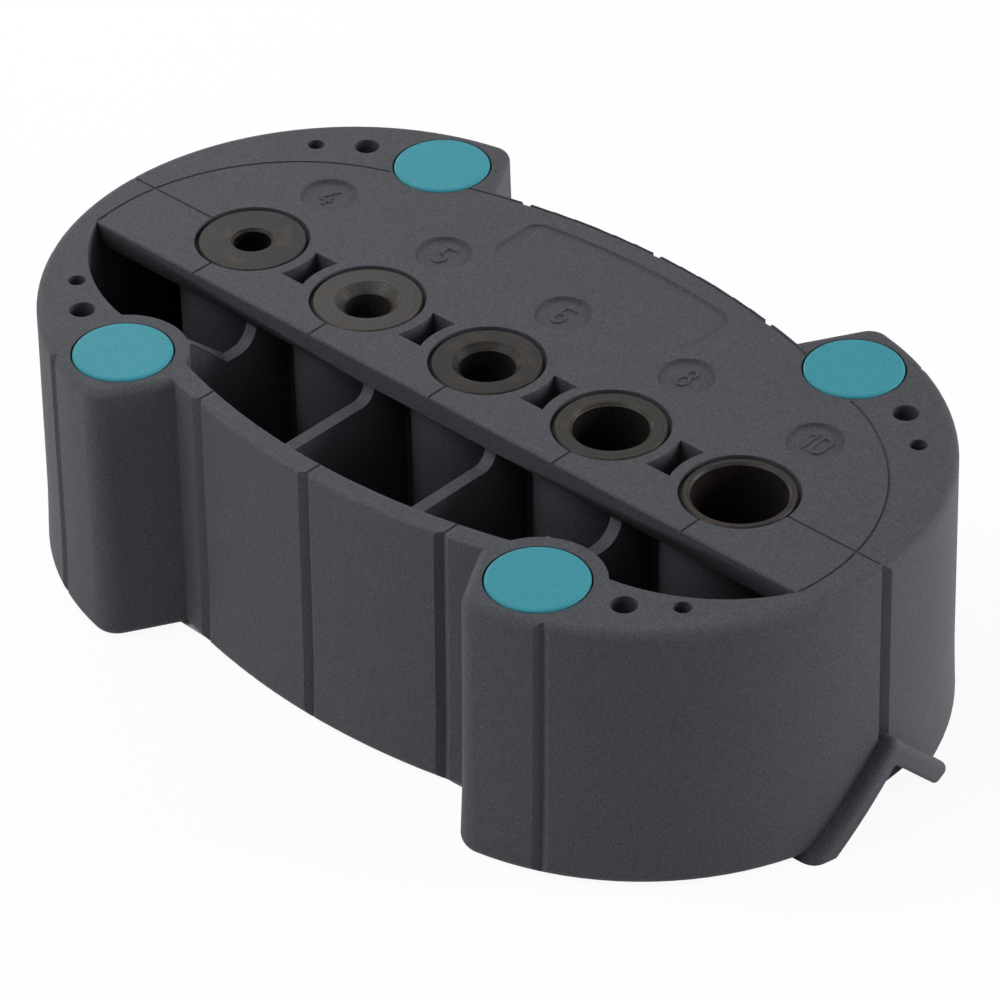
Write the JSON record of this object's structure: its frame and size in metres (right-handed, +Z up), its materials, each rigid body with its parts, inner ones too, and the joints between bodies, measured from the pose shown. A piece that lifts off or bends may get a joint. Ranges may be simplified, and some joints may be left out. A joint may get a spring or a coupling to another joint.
{
  "type": "drill guide",
  "caption": "Hand-held drill guide: a moulded ribbed housing with a row of steel drill bushes, push-out centring pins at its corners and a vee groove underneath.",
  "frame": {"origin": "centre of the base plane", "axes": "+X along the row of bushes towards the largest, +Y towards the name panel and away from the open pocket, +Z up along the bores"},
  "size_m": [0.1128, 0.0654, 0.0319],
  "materials": {
    "housing_plastic": "fine moulded texture, dark slate grey",
    "bush_steel": "turned steel with a black oxide finish",
    "pin_plastic": "smooth satin turquoise"
  },
  "bodies": {
    "guide": {"housing": "housing_plastic", "bush_4": "bush_steel", "bush_5": "bush_steel", "bush_6": "bush_steel", "bush_8": "bush_steel", "bush_10": "bush_steel"},
    "pin_front_left": {"pin_front_left": "pin_plastic"},
    "pin_front_right": {"pin_front_right": "pin_plastic"},
    "pin_back_left": {"pin_back_left": "pin_plastic"},
    "pin_back_right": {"pin_back_right": "pin_plastic"}
  },
  "joints": [
    {"name": "pin_front_left_slide", "type": "slide", "parent": "guide", "child": "pin_front_left", "axis": [0, 0, -1], "range_m": [0, 0.012]},
    {"name": "pin_front_right_slide", "type": "slide", "parent": "guide", "child": "pin_front_right", "axis": [0, 0, -1], "range_m": [0, 0.012]},
    {"name": "pin_back_left_slide", "type": "slide", "parent": "guide", "child": "pin_back_left", "axis": [0, 0, -1], "range_m": [0, 0.012]},
    {"name": "pin_back_right_slide", "type": "slide", "parent": "guide", "child": "pin_back_right", "axis": [0, 0, -1], "range_m": [0, 0.012]}
  ]
}
